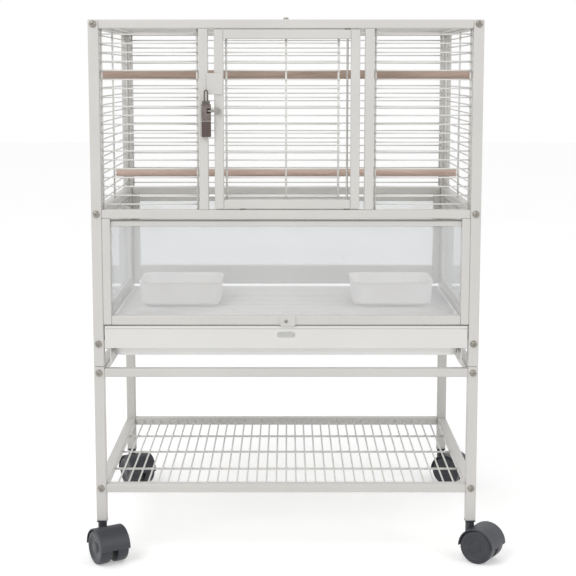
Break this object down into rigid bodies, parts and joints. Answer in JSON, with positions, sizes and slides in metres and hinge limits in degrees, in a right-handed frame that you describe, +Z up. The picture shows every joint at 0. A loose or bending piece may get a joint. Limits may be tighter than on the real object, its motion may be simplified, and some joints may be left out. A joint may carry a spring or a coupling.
{
  "type": "bird cage on a rolling stand",
  "caption": "Rectangular bird cage with a wire upper part, clear lower panels, a pull-out tray and an open wheeled stand with a wire shelf.",
  "frame": {"origin": "on the floor, under the middle of the four posts", "axes": "+Z up, -Y towards the door at the front, +X to the viewer's right"},
  "size_m": [0.6215, 0.4675, 0.793],
  "materials": {
    "frame_paint": "satin powder coat",
    "tray_paint": "satin",
    "clear_acrylic": "clear",
    "dish_plastic": "translucent",
    "perch_wood": "plain dowel",
    "caster_plastic": "moulded",
    "wheel_plastic": "moulded",
    "dark_zinc": "dark zinc",
    "plain_steel": "plain",
    "latch_metal": "dark"
  },
  "bodies": {
    "frame": {"corner_post_front_left": "frame_paint", "corner_post_front_right": "frame_paint", "corner_post_rear_left": "frame_paint", "corner_post_rear_right": "frame_paint", "stand_legs": "frame_paint", "roof_frame": "frame_paint", "roof_wires": "frame_paint", "middle_rails": "frame_paint", "door_posts": "frame_paint", "front_left_wires": "frame_paint", "front_right_wires": "frame_paint", "left_side_wires": "frame_paint", "right_side_wires": "frame_paint", "rear_wires": "frame_paint", "lower_frame_front": "frame_paint", "lower_frame_rear": "frame_paint", "lower_frame_left": "frame_paint", "lower_frame_right": "frame_paint", "sheet_edge_trims": "frame_paint", "bottom_rails": "frame_paint", "tray_runners": "frame_paint", "floor_grille": "frame_paint", "stand_rails": "frame_paint", "shelf_frame": "frame_paint", "shelf_wires": "frame_paint", "front_acrylic_sheet": "clear_acrylic", "rear_acrylic_sheet": "clear_acrylic", "left_acrylic_sheet": "clear_acrylic", "right_acrylic_sheet": "clear_acrylic", "upper_perch": "perch_wood", "lower_perch": "perch_wood", "latch_body": "latch_metal", "fasteners": "dark_zinc", "door_hinge_rod": "plain_steel", "leg_sockets": "caster_plastic"},
    "door": {"door_frame": "frame_paint", "door_wires": "frame_paint", "door_latch_pin": "latch_metal"},
    "latch_gate": {"latch_gate": "latch_metal"},
    "tray": {"tray_pan": "tray_paint", "tray_front": "tray_paint"},
    "tray_catch": {"tray_catch": "frame_paint"},
    "left_dish": {"left_dish": "dish_plastic"},
    "right_dish": {"right_dish": "dish_plastic"},
    "front_left_caster": {"front_left_caster_hood": "caster_plastic", "front_left_caster_pins": "plain_steel"},
    "front_right_caster": {"front_right_caster_hood": "caster_plastic", "front_right_caster_pins": "plain_steel"},
    "rear_left_caster": {"rear_left_caster_hood": "caster_plastic", "rear_left_caster_pins": "plain_steel"},
    "rear_right_caster": {"rear_right_caster_hood": "caster_plastic", "rear_right_caster_pins": "plain_steel"},
    "front_left_wheel_a": {"front_left_wheel_a": "wheel_plastic"},
    "front_left_wheel_b": {"front_left_wheel_b": "wheel_plastic"},
    "front_right_wheel_a": {"front_right_wheel_a": "wheel_plastic"},
    "front_right_wheel_b": {"front_right_wheel_b": "wheel_plastic"},
    "rear_left_wheel_a": {"rear_left_wheel_a": "wheel_plastic"},
    "rear_left_wheel_b": {"rear_left_wheel_b": "wheel_plastic"},
    "rear_right_wheel_a": {"rear_right_wheel_a": "wheel_plastic"},
    "rear_right_wheel_b": {"rear_right_wheel_b": "wheel_plastic"}
  },
  "joints": [
    {"name": "door_swing", "type": "hinge", "parent": "frame", "child": "door", "pos_m": [0.0872, -0.1955, 0.649], "axis": [0, 0, 1], "range_deg": [0, 120]},
    {"name": "latch_gate_slide", "type": "slide", "parent": "frame", "child": "latch_gate", "axis": [0, 0, -1], "range_m": [0, 0.008]},
    {"name": "tray_slide", "type": "slide", "parent": "frame", "child": "tray", "axis": [0, -1, 0], "range_m": [0, 0.35]},
    {"name": "tray_catch_turn", "type": "hinge", "parent": "frame", "child": "tray_catch", "pos_m": [0, -0.2041, 0.3586], "axis": [0, 1, 0], "range_deg": [0, 90]},
    {"name": "left_dish_lift", "type": "slide", "parent": "frame", "child": "left_dish", "axis": [0, 0, 1], "range_m": [0, 0.06]},
    {"name": "right_dish_lift", "type": "slide", "parent": "frame", "child": "right_dish", "axis": [0, 0, 1], "range_m": [0, 0.06]},
    {"name": "front_left_caster_swivel", "type": "hinge", "parent": "frame", "child": "front_left_caster", "pos_m": [-0.2725, -0.1955, 0.057], "axis": [0, 0, 1], "continuous": true},
    {"name": "front_right_caster_swivel", "type": "hinge", "parent": "frame", "child": "front_right_caster", "pos_m": [0.2725, -0.1955, 0.057], "axis": [0, 0, 1], "continuous": true},
    {"name": "rear_left_caster_swivel", "type": "hinge", "parent": "frame", "child": "rear_left_caster", "pos_m": [-0.2725, 0.1955, 0.057], "axis": [0, 0, 1], "continuous": true},
    {"name": "rear_right_caster_swivel", "type": "hinge", "parent": "frame", "child": "rear_right_caster", "pos_m": [0.2725, 0.1955, 0.057], "axis": [0, 0, 1], "continuous": true},
    {"name": "front_left_wheel_a_spin", "type": "hinge", "parent": "front_left_caster", "child": "front_left_wheel_a", "pos_m": [-0.2619, -0.21246, 0.025], "axis": [0.848, 0.5299, 0], "continuous": true},
    {"name": "front_left_wheel_b_spin", "type": "hinge", "parent": "front_left_caster", "child": "front_left_wheel_b", "pos_m": [-0.2619, -0.21246, 0.025], "axis": [0.848, 0.5299, 0], "continuous": true},
    {"name": "front_right_wheel_a_spin", "type": "hinge", "parent": "front_right_caster", "child": "front_right_wheel_a", "pos_m": [0.28927, -0.20639, 0.025], "axis": [0.5446, 0.8387, 0], "continuous": true},
    {"name": "front_right_wheel_b_spin", "type": "hinge", "parent": "front_right_caster", "child": "front_right_wheel_b", "pos_m": [0.28927, -0.20639, 0.025], "axis": [0.5446, 0.8387, 0], "continuous": true},
    {"name": "rear_left_wheel_a_spin", "type": "hinge", "parent": "rear_left_caster", "child": "rear_left_wheel_a", "pos_m": [-0.2619, 0.17854, 0.025], "axis": [0.848, 0.5299, 0], "continuous": true},
    {"name": "rear_left_wheel_b_spin", "type": "hinge", "parent": "rear_left_caster", "child": "rear_left_wheel_b", "pos_m": [-0.2619, 0.17854, 0.025], "axis": [0.848, 0.5299, 0], "continuous": true},
    {"name": "rear_right_wheel_a_spin", "type": "hinge", "parent": "rear_right_caster", "child": "rear_right_wheel_a", "pos_m": [0.28927, 0.18461, 0.025], "axis": [0.5446, 0.8387, 0], "continuous": true},
    {"name": "rear_right_wheel_b_spin", "type": "hinge", "parent": "rear_right_caster", "child": "rear_right_wheel_b", "pos_m": [0.28927, 0.18461, 0.025], "axis": [0.5446, 0.8387, 0], "continuous": true}
  ]
}
